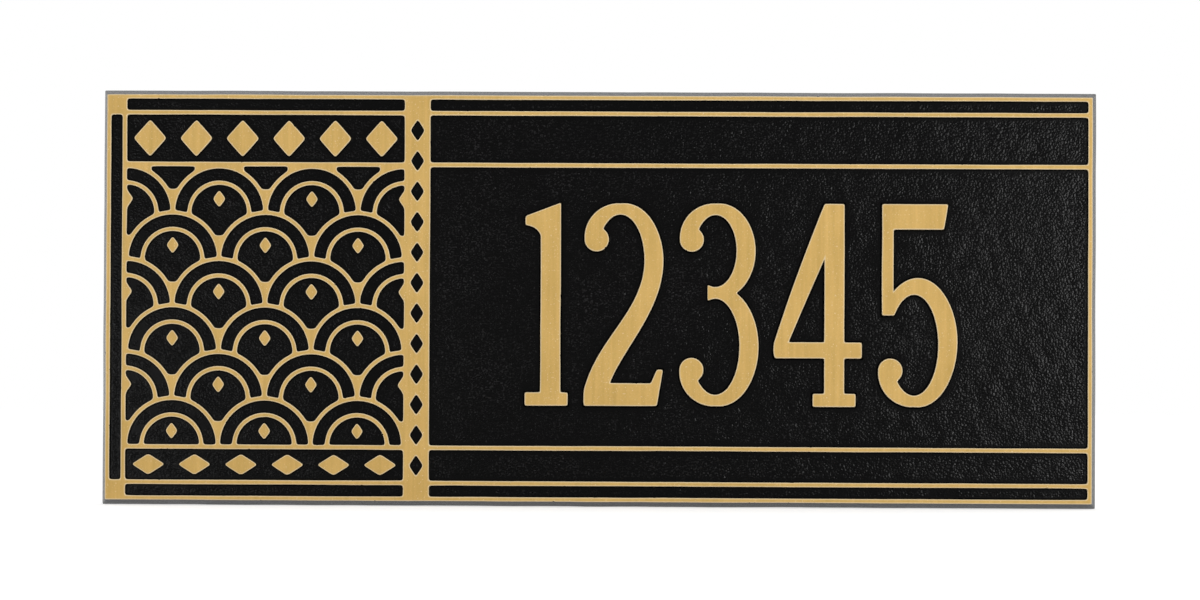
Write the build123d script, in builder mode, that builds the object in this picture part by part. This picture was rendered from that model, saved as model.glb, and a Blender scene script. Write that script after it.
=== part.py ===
"""A cast aluminium address plaque: one casting with a raised border, ornament and house number.

It stands upright as it hangs on a wall. X runs to the right, Z runs up and the front faces -Y.
The origin is the middle of the back, on the wall. Sizes are millimetres and angles are degrees.
"""

import os
from math import radians, sqrt, tan

from build123d import *

# Plate
plate_width = 375.5
plate_height = 157.0
plate_thickness = 9.5
side_draft = 12.5
corner_radius = 0.5

# Raised border lines and the sunk ground between them
relief = 1.6
pocket_draft = 10.0
rim_width = 1.5
channel_width = 4.4
line_width = 1.6
upper_band_height = 17.9
lower_band_height = 11.7

# Scallop panel, a square of overlapping fans
scallop_columns = 3
scallop_rows = 6
rib_width = 1.5
arch_width = 6.2
fan_foot_width = 3.0
spandrel_end = 1.7
eye_width = 4.8
eye_height = 6.6
eye_rise = 5.2

# Lozenges raised in the friezes above and below the panel, and sunk in the post beside it
frieze_lozenges = 6
frieze_lozenge_width = 12.4
frieze_margin = 1.9
post_width = 9.6
post_lozenges = 12
post_lozenge_width = 5.4
post_lozenge_height = 8.2

# House number, in tall condensed figures
number_height = 76.2
number_relief = 2.4
number_shift = -6.5
number_rise = 0.95
digit_gap = 6.25
stem_width = 7.4
hairline = 4.2
bowl_stroke = 7.0
bowl_width = 29.6
ball_radius = 4.5
ball_rise = 13.6
tail_radius = 12.9
serif_height = 4.8
serif_reach = 4.3

# Figure one
one_flag_reach = 5.8
one_flag_slope = 5.0
one_flag_end = 3.3
one_flag_root = 12.0
one_foot_reach = 2.8

# Figure two
two_bowl_height = 43.6
two_base_height = 8.4
two_base_end = 13.6
two_base_tip = 2.2
two_neck_foot = 9.5
two_neck_heel = 5.6
two_neck_drop = 18.4
two_neck_rise = 13.8
two_heel_rise = 16.1

# Figure three
three_waist = 42.6
three_upper_inset = 1.2
three_nub = 10.5

# Figure four
four_stem_start = 18.6
four_bar_bottom = 18.2
four_bar_height = 5.9
four_bar_reach = 6.6
four_heel = 0.9
four_diagonal = 5.0
four_counter_height = 31.8

# Figure five
five_bowl_height = 48.5
five_bowl_shoulder = 6.2
five_stem_foot = 34.4
five_flag_height = 9.4
five_flag_reach = 26.0
five_flag_slant = 1.5

# Back of the casting: a shallow hollow with bosses that are tapped for hidden wall studs
back_rim_width = 8.0
back_corner_radius = 4.0
hollow_depth = 3.9
hollow_draft = 5.0
boss_radius = 6.5
stud_spacing_across = 280.0
stud_spacing_up = 100.0
stud_hole_radius = 1.9
stud_hole_depth = 6.0

# Places that follow from the sizes above
side_slope = plate_thickness * tan(radians(side_draft))
face_width = plate_width - 2 * side_slope
face_height = plate_height - 2 * side_slope
border_width = rim_width + channel_width + line_width
inner_top = face_height / 2 - border_width
inner_bottom = -inner_top
field_top = inner_top - upper_band_height - line_width
field_bottom = inner_bottom + lower_band_height + line_width
field_height = field_top - field_bottom
scallop_radius = field_height / scallop_rows
inner_arc_radius = scallop_radius - arch_width
rib_outside = scallop_radius + rib_width / 2
fan_foot = sqrt(rib_outside**2 - (scallop_radius - fan_foot_width / 2) ** 2) - scallop_radius
spandrel_reach = scallop_radius - sqrt(rib_outside**2 - (scallop_radius - spandrel_end) ** 2)
panel_width = 2 * scallop_radius * scallop_columns
panel_left = border_width - face_width / 2
panel_right = panel_left + panel_width
panel_middle = (panel_left + panel_right) / 2
field_left = panel_right + post_width
field_right = face_width / 2 - rim_width
channel_inset = rim_width + channel_width / 2
number_middle = (field_left + field_right) / 2 + number_shift
number_bottom = (field_bottom + field_top - number_height) / 2 + number_rise
hollow_width = plate_width - 2 * back_rim_width
hollow_height = plate_height - 2 * back_rim_width

back = Plane.XZ
ground = Plane.XZ.offset(plate_thickness - relief)
front = Plane.XZ.offset(plate_thickness)


def rectangle_between(left, right, bottom, top, mode=Mode.ADD):
    """Draws a rectangle by its four edges."""
    with Locations(((left + right) / 2, (bottom + top) / 2)):
        Rectangle(right - left, top - bottom, mode=mode)


def lozenge(width, height):
    """Draws a diamond about the place in use."""
    Polygon((width / 2, 0), (0, height / 2), (-width / 2, 0), (0, -height / 2), align=None)


def ellipse_between(left, right, bottom, top, mode=Mode.ADD):
    """Draws an ellipse by the box that it fills."""
    with Locations(((left + right) / 2, (bottom + top) / 2)):
        Ellipse((right - left) / 2, (top - bottom) / 2, mode=mode)


def lower_tail():
    """Draws the quarter disc that fills the lower left of a bowl, up to its ball."""
    with BuildLine() as outline:
        Line((tail_radius, tail_radius), (0, tail_radius))
        CenterArc((tail_radius, tail_radius), tail_radius, 180, 90)
        Line((tail_radius, 0), (tail_radius, tail_radius))
    make_face(outline.edges())


def upper_tail():
    """Draws the quarter disc that fills the upper left of a bowl, down to its ball."""
    middle = (tail_radius, number_height - tail_radius)
    with BuildLine() as outline:
        Line(middle, (tail_radius, number_height))
        CenterArc(middle, tail_radius, 90, 90)
        Line((0, middle[1]), middle)
    make_face(outline.edges())


def ball(height):
    """Draws the round end of a stroke at the left edge of a figure."""
    with Locations((ball_radius, height)):
        Circle(ball_radius)


def figure_one():
    """A stem with a flag at its head and a flat foot."""
    stem_left = one_flag_reach
    stem_right = stem_left + stem_width
    flag_top = number_height - one_flag_slope
    flag_root = (stem_left, number_height - one_flag_root)
    with BuildSketch() as figure:
        rectangle_between(stem_left, stem_right, 0, number_height - one_flag_root)
        rectangle_between(0, stem_right + one_foot_reach, 0, serif_height)
        with BuildLine():
            Polyline(flag_root, (stem_right, flag_root[1]), (stem_right, number_height))
            Line((stem_right, number_height), (0, flag_top))
            Line((0, flag_top), (0, flag_top - one_flag_end))
            TangentArc((0, flag_top - one_flag_end), flag_root, tangent=(1, 0))
        make_face()
    return figure.sketch


def figure_two():
    """A bowl that runs down through a curved neck into a flat base with a raised end."""
    bowl_bottom = number_height - two_bowl_height
    bowl_middle = number_height - two_bowl_height / 2
    ball_height = number_height - ball_rise
    inner_right = bowl_width - bowl_stroke
    base_end = (bowl_width - two_base_tip, two_base_end)
    neck_foot = (two_neck_foot, two_base_height)
    neck_heel = (0, two_neck_heel)
    with BuildSketch() as figure:
        ellipse_between(0, bowl_width, bowl_bottom, number_height)
        upper_tail()
        ellipse_between(
            hairline, inner_right, bowl_bottom + hairline, number_height - hairline, Mode.SUBTRACT
        )
        rectangle_between(-hairline, 2 * bowl_width, bowl_bottom - hairline, bowl_middle, Mode.SUBTRACT)
        rectangle_between(-hairline, bowl_width / 2, bowl_middle, ball_height, Mode.SUBTRACT)
        ball(ball_height)
        with BuildLine():
            Line((inner_right, bowl_middle), (bowl_width, bowl_middle))
            Bezier(
                (bowl_width, bowl_middle),
                (bowl_width, bowl_middle - two_neck_drop),
                (bowl_width / 2, two_base_height + two_neck_rise),
                neck_foot,
            )
            Line(neck_foot, (bowl_width - 2 * two_base_tip, two_base_height))
            Line((bowl_width - 2 * two_base_tip, two_base_height), base_end)
            Line(base_end, (bowl_width, two_base_end))
            Line((bowl_width, two_base_end), (bowl_width - two_base_tip, 0))
            Polyline((bowl_width - two_base_tip, 0), (0, 0), neck_heel)
            Bezier(
                neck_heel,
                (hairline, two_base_height + two_heel_rise),
                (inner_right, bowl_middle - two_neck_drop),
                (inner_right, bowl_middle),
            )
        make_face()
    return figure.sketch


def figure_three():
    """Two bowls that share the stroke at the waist, open to the left, with a ball on each end."""
    lower_top = three_waist + hairline / 2
    upper_bottom = three_waist - hairline / 2
    upper_left = three_upper_inset
    upper_right = bowl_width - three_upper_inset
    upper_ball = number_height - ball_rise
    with BuildSketch() as figure:
        ellipse_between(0, bowl_width, 0, lower_top)
        ellipse_between(upper_left, upper_right, upper_bottom, number_height)
        lower_tail()
        upper_tail()
        ellipse_between(
            hairline, bowl_width - bowl_stroke, hairline, lower_top - hairline, Mode.SUBTRACT
        )
        ellipse_between(
            upper_left + hairline,
            upper_right - bowl_stroke,
            upper_bottom + hairline,
            number_height - hairline,
            Mode.SUBTRACT,
        )
        rectangle_between(-hairline, three_nub, ball_rise, upper_ball, Mode.SUBTRACT)
        ball(ball_rise)
        ball(upper_ball)
    return figure.sketch


def figure_four():
    """A stem with a foot, a cross bar and a diagonal that closes a triangle."""
    stem_right = four_stem_start + stem_width
    bar_top = four_bar_bottom + four_bar_height
    counter = [
        (four_stem_start, bar_top),
        (four_stem_start, bar_top + four_counter_height),
        (four_diagonal, bar_top),
    ]
    with BuildSketch() as figure:
        Polygon(
            (stem_right, number_height),
            (four_stem_start, number_height),
            (0, bar_top + four_heel),
            (0, bar_top),
            (stem_right, bar_top),
            align=None,
        )
        Polygon(*counter, align=None, mode=Mode.SUBTRACT)
        rectangle_between(0, stem_right + four_bar_reach, four_bar_bottom, bar_top)
        rectangle_between(four_stem_start, stem_right, 0, bar_top)
        rectangle_between(four_stem_start - serif_reach, stem_right + serif_reach, 0, serif_height)
    return figure.sketch


def figure_five():
    """A flag on a thin stem that turns into a bowl with a ball on its end."""
    bowl_middle = five_bowl_height / 2
    bowl_part = sqrt(1 - ((five_stem_foot - bowl_middle) / bowl_middle) ** 2)
    stem_left = (1 - bowl_part) * bowl_width / 2
    flag_bottom = number_height - five_flag_height
    with BuildSketch() as figure:
        ellipse_between(0, bowl_width, 0, five_bowl_height)
        lower_tail()
        ellipse_between(
            hairline,
            bowl_width - bowl_stroke,
            hairline,
            five_bowl_height - five_bowl_shoulder,
            Mode.SUBTRACT,
        )
        rectangle_between(-hairline, bowl_width / 2, ball_rise, five_stem_foot, Mode.SUBTRACT)
        ball(ball_rise)
        rectangle_between(stem_left, stem_left + hairline, five_stem_foot, number_height)
        Polygon(
            (stem_left, flag_bottom),
            (five_flag_reach - five_flag_slant, flag_bottom),
            (five_flag_reach, number_height),
            (stem_left, number_height),
            align=None,
        )
    return figure.sketch


def row_places(row):
    """Gives the centres of a row of scallops. Every second row is moved by half a scallop."""
    first = panel_left + (scallop_radius if row % 2 == 0 else 0)
    height = field_bottom + scallop_radius * row
    columns = range(scallop_columns + row % 2)
    return [(first + 2 * scallop_radius * column, height) for column in columns]


def overlapped(pocket):
    """Cuts a scallop's pocket to what the two scallops below leave of it, down to the foot of its fan."""
    with BuildSketch() as shown:
        add(pocket)
        with Locations((-scallop_radius, -scallop_radius), (scallop_radius, -scallop_radius)):
            Circle(rib_outside, mode=Mode.SUBTRACT)
        rectangle_between(-scallop_radius, scallop_radius, -scallop_radius, fan_foot, Mode.SUBTRACT)
    return shown.sketch


# One scallop: an arch under the outer arc and a fan under the inner arc
with BuildSketch() as whole_arch:
    Circle(scallop_radius - rib_width / 2)
    Circle(inner_arc_radius + rib_width / 2, mode=Mode.SUBTRACT)

with BuildSketch() as whole_fan:
    Circle(inner_arc_radius - rib_width / 2)

# Spandrel between two scallops of the highest row, under the frieze
with BuildSketch() as whole_spandrel:
    rectangle_between(-spandrel_reach, spandrel_reach, fan_foot, 0)

arch_pocket = overlapped(whole_arch.sketch)
fan_pocket = overlapped(whole_fan.sketch)
spandrel_pocket = overlapped(whole_spandrel.sketch)

# Nothing overlaps the lowest row, only spandrels show above the highest, and the panel's edges cut the rest
with BuildSketch(front) as scallop_pockets:
    with Locations(*row_places(0)):
        add(whole_arch.sketch)
        add(whole_fan.sketch)
    for row in range(1, scallop_rows):
        with Locations(*row_places(row)):
            add(arch_pocket)
            add(fan_pocket)
    with Locations(*row_places(scallop_rows)):
        add(spandrel_pocket)
    rectangle_between(panel_left, panel_right, field_bottom, field_top, Mode.INTERSECT)

with BuildSketch(front) as eyes:
    for row in range(scallop_rows):
        with Locations(*[(across, height + eye_rise) for across, height in row_places(row)]):
            lozenge(eye_width, eye_height)
    rectangle_between(panel_left, panel_right, field_bottom, field_top, Mode.INTERSECT)

# Rows of lozenges in the friezes, as tall as the friezes allow
with BuildSketch(front) as frieze_diamonds:
    for edge, height in ((inner_top, -upper_band_height), (inner_bottom, lower_band_height)):
        with Locations((panel_middle, edge + height / 2)):
            with GridLocations(panel_width / frieze_lozenges, 0, frieze_lozenges, 1):
                lozenge(frieze_lozenge_width, abs(height) - 2 * frieze_margin)

with BuildSketch(front) as post_pockets:
    with Locations(((panel_right + field_left) / 2, 0)):
        with GridLocations(0, (inner_top - inner_bottom) / post_lozenges, 1, post_lozenges):
            lozenge(post_lozenge_width, post_lozenge_height)

# The field of the number, and the bands and channels along the border
with BuildSketch(front) as border_pockets:
    rectangle_between(field_left, field_right, field_bottom, field_top)
    for left, right in ((panel_left, panel_right), (field_left, field_right)):
        rectangle_between(left, right, field_top + line_width, inner_top)
        rectangle_between(left, right, inner_bottom, field_bottom - line_width)
        for channel_middle in (channel_inset - face_height / 2, face_height / 2 - channel_inset):
            with Locations(((left + right) / 2, channel_middle)):
                Rectangle(right - left, channel_width)
    with Locations((channel_inset - face_width / 2, 0)):
        Rectangle(channel_width, inner_top - inner_bottom)

figures = [figure_one(), figure_two(), figure_three(), figure_four(), figure_five()]
figure_widths = [figure.bounding_box().size.X for figure in figures]
number_width = sum(figure_widths) + digit_gap * (len(figures) - 1)

with BuildSketch(ground) as number:
    figure_left = number_middle - number_width / 2
    for figure, figure_width in zip(figures, figure_widths):
        with Locations((figure_left, number_bottom)):
            add(figure)
        figure_left += figure_width + digit_gap

with BuildSketch(back) as back_hollow:
    RectangleRounded(hollow_width, hollow_height, back_corner_radius)
    with GridLocations(stud_spacing_across, stud_spacing_up, 2, 2):
        Circle(boss_radius, mode=Mode.SUBTRACT)

with BuildPart() as plaque:
    # Plate with its four edges drawn in towards the front
    with BuildSketch(back):
        Rectangle(plate_width, plate_height)
    extrude(amount=plate_thickness)
    sides = plaque.faces().filter_by(Axis.Y, reverse=True)
    draft(sides, neutral_plane=back, angle=side_draft)
    flat_faces = plaque.faces().filter_by(Axis.Y)
    fillet(plaque.edges() - flat_faces.edges(), corner_radius)

    # Black ground, sunk between the raised lines
    for pockets in (border_pockets, scallop_pockets, post_pockets):
        extrude(pockets.sketch, amount=-relief, taper=pocket_draft, mode=Mode.SUBTRACT)

    # Eyes of the scallops, lozenges of the friezes, and the house number
    for lozenges in (eyes, frieze_diamonds):
        extrude(lozenges.sketch, amount=-relief, taper=-pocket_draft)
    extrude(number.sketch, amount=number_relief)

    # Hollow back with its tapped bosses
    extrude(back_hollow.sketch, amount=hollow_depth, taper=hollow_draft, mode=Mode.SUBTRACT)
    with Locations(-back):
        with GridLocations(stud_spacing_across, stud_spacing_up, 2, 2):
            Hole(stud_hole_radius, depth=stud_hole_depth)

plaque.part.label = "address_plaque"

os.makedirs("parts", exist_ok=True)
export_step(plaque.part, "parts/address_plaque.step")
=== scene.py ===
"""The finish of a cast address plaque: soft cast edges, a grained black ground and gold raised faces.

The outlines of the raised faces come from the flat faces of the CAD casting. Each outline is drawn
smooth, a wall profile is carried along it, and the flat regions between the walls are filled.
X runs to the right, Z runs up and the front faces -Y. Lengths are millimetres, apart from names that
end in _M or _m, which are metres.
"""

from math import radians

import bpy
import numpy as np
from mathutils import Matrix, Vector
from mathutils.geometry import delaunay_2d_cdt


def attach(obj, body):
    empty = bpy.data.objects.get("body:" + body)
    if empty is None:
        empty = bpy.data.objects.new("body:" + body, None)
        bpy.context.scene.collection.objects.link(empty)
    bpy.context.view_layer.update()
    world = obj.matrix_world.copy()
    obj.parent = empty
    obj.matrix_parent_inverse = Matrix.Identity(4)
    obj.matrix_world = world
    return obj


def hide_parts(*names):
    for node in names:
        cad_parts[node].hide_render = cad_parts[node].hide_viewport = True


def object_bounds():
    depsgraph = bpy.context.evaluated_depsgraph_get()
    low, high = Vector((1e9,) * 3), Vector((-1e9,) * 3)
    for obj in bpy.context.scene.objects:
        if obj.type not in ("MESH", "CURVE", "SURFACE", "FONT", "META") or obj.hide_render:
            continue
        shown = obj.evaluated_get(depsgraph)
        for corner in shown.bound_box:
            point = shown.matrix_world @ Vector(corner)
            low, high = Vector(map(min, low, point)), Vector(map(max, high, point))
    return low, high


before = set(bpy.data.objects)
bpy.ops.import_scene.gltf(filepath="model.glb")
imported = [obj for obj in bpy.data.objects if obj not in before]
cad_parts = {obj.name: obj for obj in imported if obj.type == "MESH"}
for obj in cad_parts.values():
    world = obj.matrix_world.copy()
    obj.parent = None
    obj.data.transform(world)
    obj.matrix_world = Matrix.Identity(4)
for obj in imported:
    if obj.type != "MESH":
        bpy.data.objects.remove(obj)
cad_low, cad_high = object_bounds()

NODE = "address_plaque"
MM = 0.001
FRONT = -1
BACK = 1
SEED = 7

# Reading of the CAD casting
PLACE_DECIMALS = 3
LEVEL_DECIMALS = 2
FLAT_WITHIN = 0.01

# Drawing of the outlines
SHARP_TURN = radians(20)
TRACE_STEP = 0.15
CORNER_SOFTNESS = 0.75
FIGURE_SOFTNESS = 0.5
RIM_SOFTNESS = 0.3
BACK_SOFTNESS = 0.5
ASIDE_SOFTNESS = 1.3
OUTER_MITER = 1.45
SWAY = 0.03
SWAY_LENGTH = 5.0
TURN_STEP = radians(9)
LONG_STEP = 7.0

# Wall profiles
FACE_EDGE_RADIUS = 0.3
FACE_FOOT_RADIUS = 0.35
FACE_DRAFT = radians(10)
FIGURE_EDGE_RADIUS = 0.35
FIGURE_FOOT_RADIUS = 0.35
FIGURE_DRAFT = radians(14)
BACK_EDGE_RADIUS = 0.35
HOLLOW_DRAFT = radians(5)
HOLLOW_EDGE_RADIUS = 0.5
HOLLOW_FOOT_RADIUS = 1.2
EDGE_INSET = 0.45
EDGE_ROWS = 3
FOOT_ROWS = 2
BACK_EDGE_ROWS = 4
HOLLOW_FOOT_ROWS = 4

# Reach of the gold paint over an edge, and of the grain on the plate's sides
PAINT_REACH = EDGE_INSET + 0.33
RIM_PAINT_REACH = EDGE_INSET + 0.36
NO_PAINT = -2.0
STEEP = radians(60)
SIDE_GRAIN = 1.0

# Filling of flat regions with the triangles inside their rims
TRIANGLES_INSIDE = 1
FILL_TOLERANCE = 1e-6

# Thread in the stud holes
THREAD_PITCH = 1.06
THREAD_DEPTH = 0.45
THREAD_POINTS_AROUND = 40
THREAD_ROWS_PER_PITCH = 7
THREAD_FADE = 0.6
THREAD_LEAD = 0.2
BORE_NARROWING = 0.5

# Cast floors: the ground between the raised lines, and the hollow of the back
GROUND_STEP = 2.0
GROUND_SWELL = 0.025
HOLLOW_STEP = 4.0
HOLLOW_SWELL = 0.06
FLOOR_JITTER = 0.25
FLOOR_CLEARANCE = 0.7
SPARE_CELLS = 4
SWELL_WAVES = 40
SWELL_LENGTHS = (5.0, 14.0)

# Map for textures: the plan of the front above the plan of the back
MAP_NAME = "OFBake"
MAP_EDGE = 0.01
FRONT_RISE = 0.5

# Sockets of a Mix node that carry colours, which share their names with its others
FIRST_COLOUR_INPUT = 6
SECOND_COLOUR_INPUT = 7
MIXED_COLOUR_OUTPUT = 2

# Colours of the paint and of the metal, with the painted highlights of the black grain and of the gold
BLACK_VALLEY = (0.001, 0.00095, 0.001)
BLACK_CREST_HIGHLIGHT = (0.018, 0.0175, 0.018)
GOLD_DARK = (0.562, 0.364, 0.109)
GOLD_LIGHT = (0.737, 0.482, 0.165)
GOLD_HIGHLIGHT = (0.88, 0.72, 0.46)
METAL_DARK = (0.33, 0.328, 0.322)
METAL_LIGHT = (0.41, 0.408, 0.4)

# Gloss of the paint and of the metal
SPECULAR_LEVEL = 0.05
BLACK_ROUGHNESS = 0.2
GOLD_ROUGHNESS = 0.6
BARE_ROUGHNESS_ADDED = 0.32
GOLD_METALLIC = 0.15
BARE_METALLIC = 0.8

# Edges of the paint: how far they wander, and the part of the noise that moves them
MIDDLE_OF_NOISE = (0.25, 0.75)
RAGGED_SIZE = 0.5
RAGGED_REACH = 0.16
NICK_SIZE = 1.7
NICK_PART = (0.65, 0.8)
NICK_REACH = 0.45
GOLD_BLUR = 0.03
DUST_SIZE = 2.5
DUST_REACH = 0.35
BARE_PART = (0.4, 0.8)

# Grain of the black paint, the painted highlights on its crests, and the fine skin on everything
PEBBLE_SIZE = 0.7
PEBBLE_HEIGHT = 0.056
CREST_HIGHLIGHT_PART = (0.62, 0.76)
PATCH_SIZE = 22.0
PATCH_PART = (0.4, 0.65)
PATCH_LEAST = 0.1
SKIN_SIZE = 0.5
SKIN_HEIGHT = 0.006

# Tone of the gold paint, the clouds that it shares with the metal, and the gold's painted highlights along
# its edges and in sparkles
STREAK_SIZE = 1.4
STREAK_STRETCH = (1.0, 1.0, 0.04)
STREAK_SHARE = 0.45
CLOUD_SIZE = 14.0
CLOUD_SHARE = 0.35
FLECK_SIZE = 0.5
FLECK_SHARE = 0.2
TONE_PART = (0.3, 0.7)
EDGE_HIGHLIGHT_PART = (0.42, 0.77)
EDGE_HIGHLIGHT_SHARE = 0.9
SPARKLE_SIZE = 0.6
SPARKLE_PART = (0.66, 0.74)
SPARKLE_SHARE = 0.65

# Studio
WORLD_LEVEL = 0.6
FLOOR_HALF_M = 8.0
FLOOR_GREY = 0.9
FLOOR_ROUGHNESS = 0.9
FLOOR_GLOW = 0.55
LAMP_SIZE_M = 0.2
RIGHT_LAMP_M = (0.58, -1.58, 0.06)
RIGHT_LAMP_WATTS = 7.6
LEFT_LAMP_M = (-0.5, -1.6, -0.12)
LEFT_LAMP_WATTS = 4.7

# Camera, as far from the face as the narrow strips of side in the photograph say
CAMERA_DISTANCE_M = 1.8
CAMERA_AZIMUTH = radians(1.1)
CAMERA_ELEVATION = radians(-1.1)
CAMERA_ROLL = radians(0.27)
FRAME_WIDTH_M = 0.4528
OFF_MIDDLE_M = (0.0006, -0.0004)
SENSOR_WIDTH = 36.0

random = np.random.default_rng(SEED)


def unit(vectors):
    """Scales each row to length one."""
    return vectors / np.linalg.norm(vectors, axis=1, keepdims=True)


def signed_area(points):
    """Area inside a loop of (x, z) points, positive if it runs anticlockwise."""
    onward = np.roll(points, -1, axis=0)
    return 0.5 * np.sum(points[:, 0] * onward[:, 1] - points[:, 1] * onward[:, 0])


# Outlines of the CAD casting


def flat_triangles():
    """The casting's corner places and the triangles that lie flat across Y, with the way each faces."""
    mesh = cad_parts[NODE].data
    mesh.calc_loop_triangles()
    places = np.empty(len(mesh.vertices) * 3, np.float32)
    mesh.vertices.foreach_get("co", places)
    corners = np.empty(len(mesh.loop_triangles) * 3, np.int32)
    mesh.loop_triangles.foreach_get("vertices", corners)
    places = np.round(places.reshape(-1, 3) / MM, PLACE_DECIMALS)
    places, merged = np.unique(places, axis=0, return_inverse=True)
    triangles = merged.ravel()[corners].reshape(-1, 3)
    heights = places[triangles][:, :, 1]
    triangles = triangles[np.ptp(heights, axis=1) < FLAT_WITHIN]
    a, b, c = places[triangles].transpose(1, 0, 2)
    facing = np.sign(np.cross(b - a, c - a)[:, 1]).astype(int)
    return places, triangles, facing


def levels_and_outlines():
    """Outlines of the flat faces, as {facing: {level along Y: [loops of (x, z)]}}.

    An edge that only one triangle of a level has is on an outline, and following those edges head to tail
    gives the loops. Every loop runs with its flat face on the left, seen from the front.
    """
    places, triangles, facing = flat_triangles()
    level = np.round(places[triangles][:, 0, 1], LEVEL_DECIMALS)
    found = {FRONT: {}, BACK: {}}
    for way, height in sorted(set(zip(facing.tolist(), level.tolist()))):
        chosen = triangles[(facing == way) & (level == height)]
        edges = np.concatenate([chosen[:, [0, 1]], chosen[:, [1, 2]], chosen[:, [2, 0]]])
        codes = edges @ [len(places), 1]
        rim = edges[~np.isin(codes, edges @ [1, len(places)])]
        onward = dict(rim.tolist())
        loops = []
        while onward:
            first, here = onward.popitem()
            loop = [first]
            while here != first:
                loop.append(here)
                here = onward.pop(here)
            loops.append(places[loop if way == FRONT else loop[::-1]][:, [0, 2]])
        found[way][height] = loops
    return found


# Smooth drawing of an outline


def softened(values, spread):
    """Blurs values round a closed loop by a Gaussian, as a product of their Fourier series."""
    turns = np.fft.fftfreq(len(values))
    share = np.exp(-2 * (np.pi * turns * spread / TRACE_STEP) ** 2)
    return np.real(np.fft.ifft(np.fft.fft(values, axis=0) * share[:, None], axis=0))


def end_directions(onward, along, sharp):
    """The line's direction at the start and at the end of each run between corners.

    At a smooth corner it is the mean of the two runs. At a sharp corner it mirrors the direction at the
    run's other end, so that the run bends evenly, as an arc does.
    """
    sharp_start = sharp[:, None]
    sharp_end = np.roll(sharp_start, -1, axis=0)
    tangent = unit(onward + np.roll(onward, 1, axis=0))
    start = np.where(sharp_start, along, tangent)
    end = np.where(sharp_end, along, np.roll(tangent, -1, axis=0))
    start_mirrored = 2 * np.sum(start * along, axis=1, keepdims=True) * along - start
    end_mirrored = 2 * np.sum(end * along, axis=1, keepdims=True) * along - end
    return np.where(sharp_start, end_mirrored, start), np.where(sharp_end, start_mirrored, end)


def miters(along, turn):
    """The way to the right at each corner, as long as the miter there, or less at a pointed outer corner."""
    right = np.stack([along[:, 1], -along[:, 0]], axis=1)
    right_before = np.roll(right, 1, axis=0)
    miter = (right + right_before) / (1 + np.sum(right * right_before, axis=1, keepdims=True))
    miter_length = np.linalg.norm(miter, axis=1)
    return miter * np.where(turn > 0, np.minimum(1, OUTER_MITER / miter_length), 1)[:, None]


def traced(corners, length, start, end, miter):
    """Points a short step apart along a loop, with the way aside at each.

    Each run is the cubic through its two corners with the given directions there, and the way aside goes
    evenly from one corner's miter to the next.
    """
    counts = np.maximum(1, np.round(length / TRACE_STEP)).astype(int)
    run = np.repeat(np.arange(len(corners)), counts)
    t = ((np.arange(len(run)) - (np.cumsum(counts) - counts)[run]) / counts[run])[:, None]
    reach = length[run][:, None]
    line = (
        (1 + 2 * t) * (1 - t) ** 2 * corners[run]
        + t * (1 - t) ** 2 * reach * start[run]
        + t**2 * (3 - 2 * t) * np.roll(corners, -1, axis=0)[run]
        - t**2 * (1 - t) * reach * end[run]
    )
    return line, (1 - t) * miter[run] + t * np.roll(miter, -1, axis=0)[run]


def kept_points(line):
    """Which points to keep: those where the line has turned or run on far enough since the last."""
    step = np.roll(line, -1, axis=0) - line
    heading = np.unwrap(np.arctan2(step[:, 1], step[:, 0]))
    bend = np.abs(np.diff(heading, prepend=heading[:1]))
    progress = np.cumsum(bend / TURN_STEP + np.linalg.norm(step, axis=1) / LONG_STEP)
    return np.floor(progress) > np.floor(np.concatenate([[-1], progress[:-1]]))


def drawn(corners, softness, aside_softness=ASIDE_SOFTNESS):
    """A smooth outline through a loop's corners, with the way aside at each of its points.

    The way aside is to the right, away from the flat face. The line and the way aside are blurred along
    the line, which rounds the corners, and the line sways a little, as a casting does.
    """
    onward = np.roll(corners, -1, axis=0) - corners
    length = np.linalg.norm(onward, axis=1)
    along = onward / length[:, None]
    before = np.roll(along, 1, axis=0)
    cross = before[:, 0] * along[:, 1] - before[:, 1] * along[:, 0]
    turn = np.arctan2(cross, np.sum(before * along, axis=1))
    start, end = end_directions(onward, along, np.abs(turn) > SHARP_TURN)
    line, aside = traced(corners, length, start, end, miters(along, turn))
    sway = softened(random.normal(size=(len(line), 1)), SWAY_LENGTH)
    sway_spread = np.sqrt(TRACE_STEP / (2 * np.sqrt(np.pi) * SWAY_LENGTH))
    line = softened(line, softness)
    aside = softened(aside, aside_softness)
    line = line + aside * sway * SWAY / sway_spread
    kept = kept_points(line)
    return line[kept], aside[kept]


# Wall profiles, as rows of offset from the outline, depth below the flat face, and lean of the surface


def rounded_edge(radius, start, end, rows, corner):
    """An arc that turns the lean from start to end and touches both flanks of a sharp corner."""
    reach = radius * np.tan((end - start) / 2)
    lean = np.linspace(start, end, rows)
    middle_offset = corner[0] - reach * np.cos(start) - radius * np.sin(start)
    middle_depth = corner[1] - reach * np.sin(start) + radius * np.cos(start)
    return np.stack([middle_offset + radius * np.sin(lean), middle_depth - radius * np.cos(lean), lean], 1)


def inset_edge(radius, end):
    """A row on the flat face, inside its edge, and then the edge rounded until it leans to the end."""
    inset = (-EDGE_INSET, 0, 0)
    return np.concatenate([[inset], rounded_edge(radius, 0, end, EDGE_ROWS, (0, 0))])


def foot_fillet(radius, lean_of_wall, rows, corner):
    """A fillet that turns the lean from a wall's back to flat and touches the wall and the ground."""
    reach = radius * np.tan(lean_of_wall / 2)
    lean = np.linspace(lean_of_wall, 0, rows)
    middle_offset = corner[0] + reach
    middle_depth = corner[1] - radius
    return np.stack([middle_offset - radius * np.sin(lean), middle_depth + radius * np.cos(lean), lean], 1)


def wall_profile(drop, draft, edge_radius, foot_radius, foot_rows=FOOT_ROWS):
    """A rounded top edge, a straight flank that is drafted outwards, and a fillet at its foot."""
    steepness = np.pi / 2 - draft
    foot = (drop * np.tan(draft), drop)
    top = inset_edge(edge_radius, steepness)
    return np.concatenate([top, foot_fillet(foot_radius, steepness, foot_rows, foot)])


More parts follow.
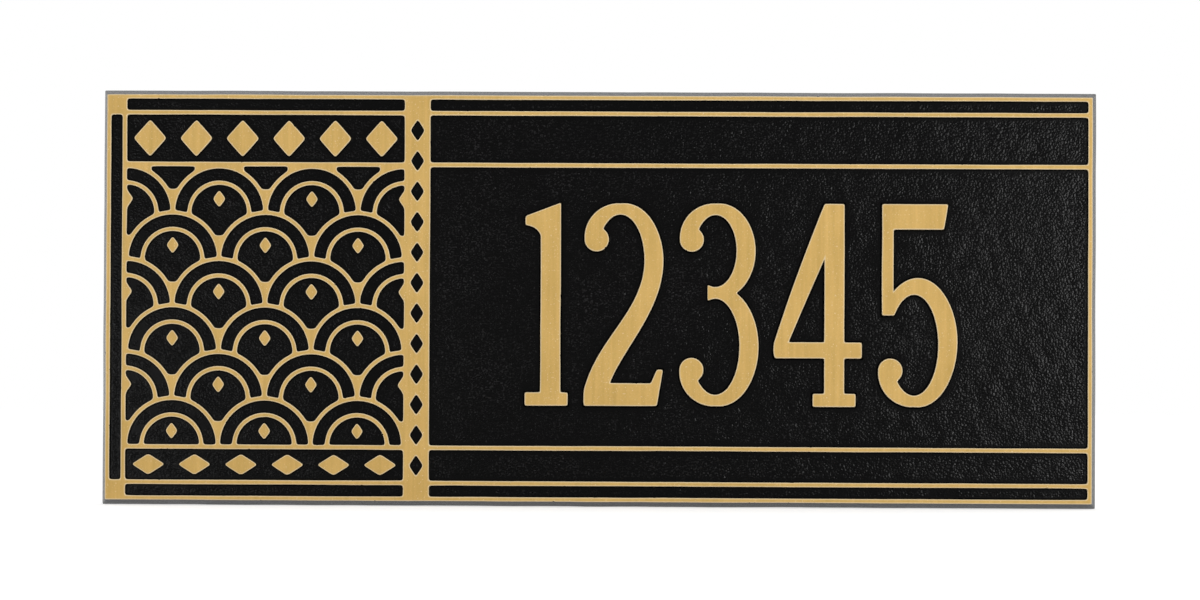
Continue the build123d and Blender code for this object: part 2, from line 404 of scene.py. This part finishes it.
def side_profile(drop, slope):
    """The plate's side, from its rounded front edge, down the drafted flank and round onto the back."""
    steepness = np.pi / 2 - np.arctan2(slope, drop)
    top = inset_edge(FACE_EDGE_RADIUS, steepness)
    onto_back = rounded_edge(BACK_EDGE_RADIUS, steepness, np.pi, BACK_EDGE_ROWS, (slope, drop))
    return np.concatenate([top, onto_back])


# Cast floors


def swell(points, height):
    """Slow unevenness of a cast floor, as its rise and its slope at (x, z) points.

    The rise is a sum of plane waves of random direction, length and phase, and the slope is its derivative.
    """
    heading = random.uniform(0, 2 * np.pi, SWELL_WAVES)
    length = random.uniform(*SWELL_LENGTHS, SWELL_WAVES)
    phase = random.uniform(0, 2 * np.pi, SWELL_WAVES)
    ways = np.stack([np.cos(heading), np.sin(heading)]) * 2 * np.pi / length
    share = height / np.sqrt(SWELL_WAVES / 2)
    angle = points @ ways + phase
    return share * np.cos(angle).sum(axis=1), -share * np.sin(angle) @ ways.T


def lattice_points(feet, spacing):
    """A staggered lattice with a little jitter, over the plate, less what is near the foot of a wall.

    The feet are marked on a grid of cells, the marks spread by two cells each way, and a lattice point
    stays where its cell isn't marked.
    """
    low = np.array([cad_low.x, cad_low.z]) / MM
    high = np.array([cad_high.x, cad_high.z]) / MM
    rows = np.arange(low[1], high[1], spacing * np.sqrt(3) / 2)
    across = np.arange(low[0], high[0], spacing)
    x = across[None, :] + (np.arange(len(rows)) % 2)[:, None] * spacing / 2
    points = np.stack([x, np.broadcast_to(rows[:, None], x.shape)], axis=2).reshape(-1, 2)
    points = points + random.uniform(-1, 1, points.shape) * FLOOR_JITTER * spacing
    points = points[np.all((points > low) & (points < high), axis=1)]

    cell = FLOOR_CLEARANCE / 2
    taken = np.zeros(np.ceil((high - low) / cell).astype(int) + 2 * SPARE_CELLS + 1, bool)
    parts = np.linspace(0, 1, int(2 * LONG_STEP / cell), endpoint=False)[:, None, None]
    for foot in feet:
        dense = (foot + (np.roll(foot, -1, axis=0) - foot) * parts).reshape(-1, 2)
        taken[tuple(((dense - low) / cell).astype(int).T + SPARE_CELLS)] = True
    for axis in (0, 0, 1, 1):
        taken = taken | np.roll(taken, 1, axis) | np.roll(taken, -1, axis)
    return points[~taken[tuple(((points - low) / cell).astype(int).T + SPARE_CELLS)]]


# The painted casting, gathered as arrays


class Shell:
    """Vertices with their normals, paint values and places on a flat plan, and the faces between them."""

    def __init__(self):
        self.places = np.empty((0, 3))
        self.normals = np.empty((0, 3))
        self.plan = np.empty((0, 2))
        self.paint = {"gold": np.empty(0), "grain": np.empty(0), "bare": np.empty(0)}
        self.quads = {FRONT: [], BACK: []}
        self.triangles = {FRONT: [], BACK: []}

    def add(self, places, normals, gold=NO_PAINT, grain=0.0, bare=0.0, plan=None):
        """Adds vertices and gives their numbers. Their plan is their (x, z) unless another is given."""
        numbers = np.arange(len(places)) + len(self.places)
        self.places = np.concatenate([self.places, places])
        self.normals = np.concatenate([self.normals, normals])
        self.plan = np.concatenate([self.plan, places[:, [0, 2]] if plan is None else plan])
        for title, values in (("gold", gold), ("grain", grain), ("bare", bare)):
            self.paint[title] = np.concatenate([self.paint[title], np.broadcast_to(values, len(places))])
        return numbers

    def strip(self, numbers, facing):
        """Joins the rows of a closed band, given as numbers[point, row], by quads."""
        onward = np.roll(numbers, -1, axis=0)
        corners = [numbers[:, :-1], numbers[:, 1:], onward[:, 1:], onward[:, :-1]]
        quads = np.stack(corners, axis=2).reshape(-1, 4)
        self.quads[facing].append(quads if facing == FRONT else quads[:, ::-1])

    def wall(self, outline, profile, level, facing, paint_reach, grain=0.0):
        """Carries a wall profile along an outline and gives the numbers of its first and last rows.

        Point (i, j) is the outline's point i, moved aside by row j's offset and below the level by its depth.
        Its normal leans from the face's own towards the way aside by row j's lean. Gold paint reaches as far
        down the wall as it is told, the grain is on its steep part, and at the back the black paint thins
        to bare metal down the wall.
        """
        line, aside = outline
        offset, depth, lean = profile.T
        places = np.empty((len(line), len(profile), 3))
        places[..., [0, 2]] = line[:, None, :] + aside[:, None, :] * offset[:, None]
        places[..., 1] = level - facing * depth
        normals = np.empty_like(places)
        normals[..., [0, 2]] = unit(aside)[:, None, :] * np.sin(lean)[:, None]
        normals[..., 1] = facing * np.cos(lean)
        step = np.hypot(np.diff(offset, prepend=offset[0]), np.diff(depth, prepend=depth[0]))
        gold = np.tile(paint_reach - np.cumsum(step), len(line))
        bare = np.tile(depth / depth.max() * (facing == BACK), len(line))
        steep = np.tile(lean > STEEP, len(line))
        numbers = self.add(places.reshape(-1, 3), normals.reshape(-1, 3), gold, grain * steep, bare)
        numbers = numbers.reshape(len(line), len(profile))
        self.strip(numbers, facing)
        return numbers[:, 0], numbers[:, -1]

    def fill(self, rims, facing, inner=None):
        """Fills what lies inside an odd number of rims with triangles, through any inner vertices too."""
        numbers = np.concatenate(rims if inner is None else [*rims, inner])
        flat = self.places[numbers][:, [0, 2]]
        loops = []
        first = 0
        for rim in rims:
            loop = list(range(first, first + len(rim)))
            loops.append(loop if signed_area(flat[loop]) > 0 else loop[::-1])
            first += len(rim)
        points = [Vector(place) for place in flat.tolist()]
        made = delaunay_2d_cdt(points, [], loops, TRIANGLES_INSIDE, FILL_TOLERANCE)
        places, _, faces, came_from, _, inside = made
        if len(places) > len(flat):
            raise ValueError("two rims cross")
        depth = np.fromiter(map(len, inside), int)
        back_to = numbers[np.array([sources[0] for sources in came_from])]
        chosen = back_to[np.array(faces)[depth % 2 == 1]]
        self.triangles[facing].append(chosen if facing == FRONT else chosen[:, ::-1])

    def cast_floor(self, feet, facing, level, spacing, height):
        """Fills the floor between the feet of walls, through a lattice that swells a little."""
        points = lattice_points([self.places[foot][:, [0, 2]] for foot in feet], spacing)
        rise, slope = swell(points, height)
        places = np.stack([points[:, 0], level + rise, points[:, 1]], axis=1)
        normals = facing * np.stack([-slope[:, 0], np.ones(len(points)), -slope[:, 1]], axis=1)
        inner = self.add(places, unit(normals), grain=1.0, bare=float(facing == BACK))
        self.fill(feet, facing, inner)


def threaded_bore(shell, loop, level, bottom):
    """A tapped hole: a grid round the bore and down it, whose radius follows a helical thread.

    The radius is the bore's plus the thread's depth times a triangle wave of (depth / pitch - turn). The
    wave fades in below the mouth and out above the bottom. On the plan the bore narrows downwards.
    """
    middle = loop.mean(axis=0)
    bore = np.sqrt(abs(signed_area(loop)) / np.pi)
    drop = level - bottom
    rows = int(drop / THREAD_PITCH * THREAD_ROWS_PER_PITCH)
    turn = -np.arange(THREAD_POINTS_AROUND)[:, None] / THREAD_POINTS_AROUND
    depth = np.linspace(0, drop, rows)[None, :]
    wave = np.abs((2 * (depth / THREAD_PITCH - turn)) % 2 - 1)
    fade_in = np.clip(depth / THREAD_FADE - THREAD_LEAD, 0, 1)
    fade_out = np.clip((drop - depth) / THREAD_FADE - THREAD_LEAD, 0, 1)
    radius = bore + THREAD_DEPTH * wave * (fade_in * fade_out)
    places = np.empty((THREAD_POINTS_AROUND, rows, 3))
    places[..., 0] = middle[0] + radius * np.cos(2 * np.pi * turn)
    places[..., 1] = level - depth
    places[..., 2] = middle[1] + radius * np.sin(2 * np.pi * turn)
    plan = middle + (places[..., [0, 2]] - middle) * (1 - depth / drop * BORE_NARROWING)[..., None]
    no_normals = np.zeros((places.size // 3, 3))
    numbers = shell.add(places.reshape(-1, 3), no_normals, bare=1.0, plan=plan.reshape(-1, 2))
    numbers = numbers.reshape(THREAD_POINTS_AROUND, rows)
    shell.strip(numbers, BACK)
    return numbers[:, 0], numbers[:, -1]


def raised_front(shell, outlines, back_level):
    """Adds the front and the sides, and gives the numbers of the sides' last row, on the back.

    The rim's outline goes down the side to the back, and the other outlines go down to the ground.
    """
    figure_level, face_level, ground_level = sorted(outlines)
    face_loops = sorted(outlines[face_level], key=signed_area)
    face_half = face_loops.pop().max(axis=0)
    side = side_profile(back_level - face_level, cad_high.x / MM - face_half[0])
    rim_outline = drawn(face_half * [(1, -1), (1, 1), (-1, 1), (-1, -1)], RIM_SOFTNESS, RIM_SOFTNESS)
    rim_top, rim_back = shell.wall(rim_outline, side, face_level, FRONT, RIM_PAINT_REACH, SIDE_GRAIN)
    face_wall = wall_profile(ground_level - face_level, FACE_DRAFT, FACE_EDGE_RADIUS, FACE_FOOT_RADIUS)
    figure_drop = ground_level - figure_level
    figure_wall = wall_profile(figure_drop, FIGURE_DRAFT, FIGURE_EDGE_RADIUS, FIGURE_FOOT_RADIUS)
    faces = [drawn(loop, CORNER_SOFTNESS) for loop in face_loops]
    figures = [drawn(loop, FIGURE_SOFTNESS) for loop in outlines[figure_level]]
    face_rows = [shell.wall(line, face_wall, face_level, FRONT, PAINT_REACH) for line in faces]
    figure_rows = [shell.wall(line, figure_wall, figure_level, FRONT, PAINT_REACH) for line in figures]
    shell.fill([rim_top, *(top for top, foot in face_rows)], FRONT)
    shell.fill([top for top, foot in figure_rows], FRONT)
    feet = [foot for top, foot in face_rows + figure_rows]
    shell.cast_floor(feet, FRONT, ground_level, GROUND_STEP, GROUND_SWELL)
    return rim_back


def hollow_back(shell, outlines, rim_back):
    """Adds the back inside the sides' last row: its flat rim, the hollow with its bosses, and the bores."""
    bore_level, hollow_level, back_level = sorted(outlines)
    hollow_loop, *inner_loops, _ = sorted(outlines[back_level], key=signed_area)
    bosses = [loop for loop in inner_loops if signed_area(loop) > 0]
    bores = [loop for loop in inner_loops if signed_area(loop) < 0]
    drop = back_level - hollow_level
    wall = wall_profile(drop, HOLLOW_DRAFT, HOLLOW_EDGE_RADIUS, HOLLOW_FOOT_RADIUS, HOLLOW_FOOT_ROWS)
    lines = [drawn(hollow_loop, BACK_SOFTNESS), *(drawn(loop, 0) for loop in bosses)]
    wall_rows = [shell.wall(line, wall, back_level, BACK, NO_PAINT) for line in lines]
    bore_rows = [threaded_bore(shell, loop, back_level, bore_level) for loop in bores]
    mouths = [mouth for mouth, bottom in bore_rows]
    shell.fill([rim_back, *(top for top, foot in wall_rows), *mouths], BACK)
    shell.cast_floor([foot for top, foot in wall_rows], BACK, hollow_level, HOLLOW_STEP, HOLLOW_SWELL)
    for mouth, bottom in bore_rows:
        shell.fill([bottom], BACK)


def painted_casting():
    """The whole casting as one closed shell: raised front, sides, and the hollow back with its bosses."""
    found = levels_and_outlines()
    shell = Shell()
    rim_back = raised_front(shell, found[FRONT], max(found[BACK]))
    hollow_back(shell, found[BACK], rim_back)
    return shell


def mesh_object(name, shell):
    """Writes a shell into a new object's mesh, in metres, without the vertices that no face uses.

    Its map for textures is the plan at one scale, with the faces of the front above those of the back.
    """
    groups = [(way, np.concatenate(made[way])) for made in (shell.quads, shell.triangles) for way in made]
    corners = np.concatenate([group.ravel() for way, group in groups])
    in_front = np.concatenate([np.full(group.size, way == FRONT) for way, group in groups])
    used = np.unique(corners)
    number = np.zeros(len(shell.places), int)
    number[used] = np.arange(len(used))
    mesh = bpy.data.meshes.new(name)
    faces = [face for way, group in groups for face in number[group].tolist()]
    mesh.from_pydata((shell.places[used] * MM).tolist(), [], faces, shade_flat=False)
    for title, values in shell.paint.items():
        layer = mesh.attributes.new(title, "FLOAT", "POINT")
        layer.data.foreach_set("value", values[used].astype(np.float32))
    plan = shell.plan - shell.plan[used].min(axis=0)
    spots = MAP_EDGE + plan[corners] * (1 - 2 * MAP_EDGE) / plan[used, 0].max()
    spots[:, 1] += FRONT_RISE * in_front
    mesh.uv_layers.new(name=MAP_NAME).uv.foreach_set("vector", spots.ravel().astype(np.float32))
    mesh.normals_split_custom_set_from_vertices(shell.normals[used].tolist())
    mesh.update()
    made = bpy.data.objects.new(name, mesh)
    bpy.context.scene.collection.objects.link(made)
    return made


# Steps that every material is made of


def new_material(name):
    """An empty node material, with its tree and its Principled shader."""
    material = bpy.data.materials.new(name)
    material.use_nodes = True
    tree = material.node_tree
    return material, tree, tree.nodes["Principled BSDF"]


def add_node(tree, kind, inputs=(), **settings):
    """A node of a kind, with settings, and with inputs that are values or the sockets that feed them."""
    made = tree.nodes.new("ShaderNode" + kind)
    for name, value in settings.items():
        setattr(made, name, value)
    for key, value in dict(inputs).items():
        if isinstance(value, bpy.types.NodeSocket):
            tree.links.new(value, made.inputs[key])
        else:
            made.inputs[key].default_value = value
    return made


def attribute(tree, title):
    """A value that the mesh carries at its vertices."""
    return add_node(tree, "Attribute", attribute_name=title).outputs["Fac"]


def noise(tree, where, size, detail=2.0, roughness=0.5):
    """Noise whose grains are about size millimetres across."""
    inputs = {"Vector": where, "Scale": 1 / (size * MM), "Detail": detail, "Roughness": roughness}
    return add_node(tree, "TexNoise", inputs).outputs["Fac"]


def remap(tree, value, given, wanted=(0.0, 1.0)):
    """Maps a given range of a value onto a wanted one, clamped."""
    inputs = {"Value": value, "From Min": given[0], "From Max": given[1]}
    inputs |= {"To Min": wanted[0], "To Max": wanted[1]}
    return add_node(tree, "MapRange", inputs).outputs["Result"]


def arithmetic(tree, operation, first, second):
    """One arithmetic step on two values."""
    return add_node(tree, "Math", {0: first, 1: second}, operation=operation).outputs["Value"]


def mix_colour(tree, share, first, second):
    """Blends two colours by a share."""
    first, second = (
        colour if isinstance(colour, bpy.types.NodeSocket) else (*colour, 1.0) for colour in (first, second)
    )
    inputs = {"Factor": share, FIRST_COLOUR_INPUT: first, SECOND_COLOUR_INPUT: second}
    return add_node(tree, "Mix", inputs, data_type="RGBA").outputs[MIXED_COLOUR_OUTPUT]


# Paint and metal of the plaque


def gold_share(tree, where, distance):
    """1 where the gold paint is and 0 elsewhere: its distance from the edge, made ragged and nicked."""
    ragged = noise(tree, where, RAGGED_SIZE, detail=1.0)
    ragged = remap(tree, ragged, MIDDLE_OF_NOISE, (-RAGGED_REACH, RAGGED_REACH))
    nick = remap(tree, noise(tree, where, NICK_SIZE, detail=1.0), NICK_PART, (0.0, NICK_REACH))
    ragged = arithmetic(tree, "SUBTRACT", ragged, nick)
    return remap(tree, arithmetic(tree, "ADD", distance, ragged), (-GOLD_BLUR, GOLD_BLUR))


def bare_share(tree, where, bareness):
    """1 on bare metal and 0 under paint: the mesh's own value, moved by the noise of a dusted edge."""
    dust = noise(tree, where, DUST_SIZE, detail=4.0, roughness=0.7)
    dust = remap(tree, dust, MIDDLE_OF_NOISE, (-DUST_REACH, DUST_REACH))
    return remap(tree, arithmetic(tree, "ADD", bareness, dust), BARE_PART)


def black_paint(tree, where, pebble, grain):
    """Black with painted highlights on the crests of its grain, stronger in some patches than in others."""
    # Painted highlights on the grain's crests. They fade out with the grain at the foot of each wall, which
    # paints shade there.
    patch = remap(tree, noise(tree, where, PATCH_SIZE), PATCH_PART, (PATCH_LEAST, 1.0))
    crest_highlight = arithmetic(tree, "MULTIPLY", remap(tree, pebble, CREST_HIGHLIGHT_PART), patch)
    crest_highlight = arithmetic(tree, "MULTIPLY", crest_highlight, grain)
    return mix_colour(tree, crest_highlight, BLACK_VALLEY, BLACK_CREST_HIGHLIGHT)


def gold_paint(tree, where, cloud, distance):
    """Gold whose tone is a sum of upright streaks, clouds and flecks, with painted highlights as pale
    sparkles and along its edges.
    """
    stretched = add_node(tree, "Mapping", {"Vector": where, "Scale": STREAK_STRETCH}).outputs["Vector"]
    streak = arithmetic(tree, "MULTIPLY", noise(tree, stretched, STREAK_SIZE), STREAK_SHARE)
    fleck = arithmetic(tree, "MULTIPLY", noise(tree, where, FLECK_SIZE, detail=1.0), FLECK_SHARE)
    tone = arithmetic(tree, "ADD", streak, arithmetic(tree, "MULTIPLY", cloud, CLOUD_SHARE))
    tone = remap(tree, arithmetic(tree, "ADD", tone, fleck), TONE_PART)
    golden = mix_colour(tree, tone, GOLD_DARK, GOLD_LIGHT)
    # Painted highlight along the rounded edges of the gold faces, and painted glints as pale sparkles.
    edge = remap(tree, distance, EDGE_HIGHLIGHT_PART, (EDGE_HIGHLIGHT_SHARE, 0.0))
    sparkle = noise(tree, where, SPARKLE_SIZE, detail=1.0)
    sparkle = remap(tree, sparkle, SPARKLE_PART, (0.0, SPARKLE_SHARE))
    return mix_colour(tree, arithmetic(tree, "MAXIMUM", edge, sparkle), golden, GOLD_HIGHLIGHT)


def paint_relief(tree, where, pebble, grain):
    """The surface's direction on a relief of pebbles, as high above the ground as below, and a fine skin."""
    pebbles = remap(tree, pebble, (0.0, 1.0), (-PEBBLE_HEIGHT * MM, PEBBLE_HEIGHT * MM))
    pebbles = arithmetic(tree, "MULTIPLY", pebbles, grain)
    skin = arithmetic(tree, "MULTIPLY", noise(tree, where, SKIN_SIZE), SKIN_HEIGHT * MM)
    height = arithmetic(tree, "ADD", pebbles, skin)
    return add_node(tree, "Bump", {"Height": height, "Distance": 1.0}).outputs["Normal"]


def paint_material():
    """Black grained paint on the casting, satin gold paint on its raised faces, and bare metal in its hollow.

    The gold attribute is the distance in millimetres from the edge of the gold paint, along the surface.
    The grain attribute is 1 on open ground and on the plate's sides, and fades to 0 at the foot of a wall.
    The bare attribute is 0 where the black paint covers the casting and 1 where it doesn't reach.
    """
    material, tree, shader = new_material("plaque_paint")
    where = add_node(tree, "TexCoord").outputs["Object"]
    distance = attribute(tree, "gold")
    grain = attribute(tree, "grain")
    gold = gold_share(tree, where, distance)
    bare = bare_share(tree, where, attribute(tree, "bare"))
    pebble = noise(tree, where, PEBBLE_SIZE, detail=0.0)
    cloud = noise(tree, where, CLOUD_SIZE, detail=3.0)

    black = black_paint(tree, where, pebble, grain)
    golden = gold_paint(tree, where, cloud, distance)
    metal = mix_colour(tree, remap(tree, cloud, TONE_PART), METAL_DARK, METAL_LIGHT)
    colour = mix_colour(tree, bare, mix_colour(tree, gold, black, golden), metal)
    roughness = remap(tree, gold, (0.0, 1.0), (BLACK_ROUGHNESS, GOLD_ROUGHNESS))
    rougher = arithmetic(tree, "MULTIPLY", bare, BARE_ROUGHNESS_ADDED)
    gold_metallic = arithmetic(tree, "MULTIPLY", gold, GOLD_METALLIC)
    bare_metallic = arithmetic(tree, "MULTIPLY", bare, BARE_METALLIC)
    tree.links.new(colour, shader.inputs["Base Color"])
    tree.links.new(arithmetic(tree, "ADD", roughness, rougher), shader.inputs["Roughness"])
    tree.links.new(arithmetic(tree, "ADD", gold_metallic, bare_metallic), shader.inputs["Metallic"])
    tree.links.new(paint_relief(tree, where, pebble, grain), shader.inputs["Normal"])
    shader.inputs["Specular IOR Level"].default_value = SPECULAR_LEVEL
    return material


# Studio


def seen_share(tree):
    """1 for rays from the camera and for mirrored and refracted rays, 0 for the rest."""
    path = add_node(tree, "LightPath").outputs
    seen = arithmetic(tree, "MAXIMUM", path["Is Camera Ray"], path["Is Glossy Ray"])
    return arithmetic(tree, "MAXIMUM", seen, path["Is Transmission Ray"])


def white_world():
    """A white surrounding: full white where it is seen, and a softer level where it lights."""
    world = bpy.data.worlds.new("studio")
    world.use_nodes = True
    tree = world.node_tree
    level = remap(tree, seen_share(tree), (0.0, 1.0), (WORLD_LEVEL, 1.0))
    tree.links.new(level, tree.nodes["Background"].inputs["Strength"])
    tree.nodes["Background"].inputs["Color"].default_value = (1, 1, 1, 1)
    bpy.context.scene.world = world


def studio_floor(height_m):
    """A plain pale floor under the plaque's lower edge, lifted to white where the camera sees it."""
    corners = [(-1, -1), (1, -1), (1, 1), (-1, 1)]
    mesh = bpy.data.meshes.new("floor")
    places = [(x * FLOOR_HALF_M, y * FLOOR_HALF_M, height_m) for x, y in corners]
    mesh.from_pydata(places, [], [(0, 1, 2, 3)])
    floor = bpy.data.objects.new("floor", mesh)
    bpy.context.scene.collection.objects.link(floor)
    material, tree, shader = new_material("floor_paint")
    shader.inputs["Base Color"].default_value = (FLOOR_GREY, FLOOR_GREY, FLOOR_GREY, 1)
    shader.inputs["Roughness"].default_value = FLOOR_ROUGHNESS
    shader.inputs["Specular IOR Level"].default_value = 0.0
    shader.inputs["Emission Color"].default_value = (1, 1, 1, 1)
    glow = remap(tree, seen_share(tree), (0.0, 1.0), (0.0, FLOOR_GLOW))
    tree.links.new(glow, shader.inputs["Emission Strength"])
    mesh.materials.append(material)


def soft_lamp(name, place, power):
    """A square soft lamp that faces the middle of the plaque."""
    light = bpy.data.lights.new(name, "AREA")
    light.size = LAMP_SIZE_M
    light.energy = power
    lamp = bpy.data.objects.new(name, light)
    lamp.location = place
    lamp.rotation_euler = (-Vector(place)).to_track_quat("-Z", "Y").to_euler()
    bpy.context.scene.collection.objects.link(lamp)


def photograph_camera():
    """A camera before the middle of the plaque, turned, lowered and rolled a little, as in the photograph."""
    camera = bpy.data.cameras.new("camera")
    camera.sensor_width = SENSOR_WIDTH
    camera.lens = SENSOR_WIDTH * CAMERA_DISTANCE_M / FRAME_WIDTH_M
    middle = (cad_low + cad_high) / 2 + Vector((OFF_MIDDLE_M[0], 0, OFF_MIDDLE_M[1]))
    sideways = np.sin(CAMERA_AZIMUTH) * np.cos(CAMERA_ELEVATION)
    away = np.cos(CAMERA_AZIMUTH) * np.cos(CAMERA_ELEVATION)
    backwards = Vector((sideways, -away, np.sin(CAMERA_ELEVATION)))
    turn = (-backwards).to_track_quat("-Z", "Y").to_matrix().to_4x4()
    roll = Matrix.Rotation(CAMERA_ROLL, 4, "Z")
    holder = bpy.data.objects.new("camera", camera)
    holder.matrix_world = Matrix.Translation(middle + backwards * CAMERA_DISTANCE_M) @ turn @ roll
    bpy.context.scene.collection.objects.link(holder)
    bpy.context.scene.camera = holder


plaque = mesh_object("painted_plaque", painted_casting())
plaque.data.materials.append(paint_material())
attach(plaque, "root")
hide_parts(NODE)

bpy.context.scene.view_settings.view_transform = "Standard"
white_world()
studio_floor(cad_low.z)
soft_lamp("right_lamp", RIGHT_LAMP_M, RIGHT_LAMP_WATTS)
soft_lamp("left_lamp", LEFT_LAMP_M, LEFT_LAMP_WATTS)
photograph_camera()
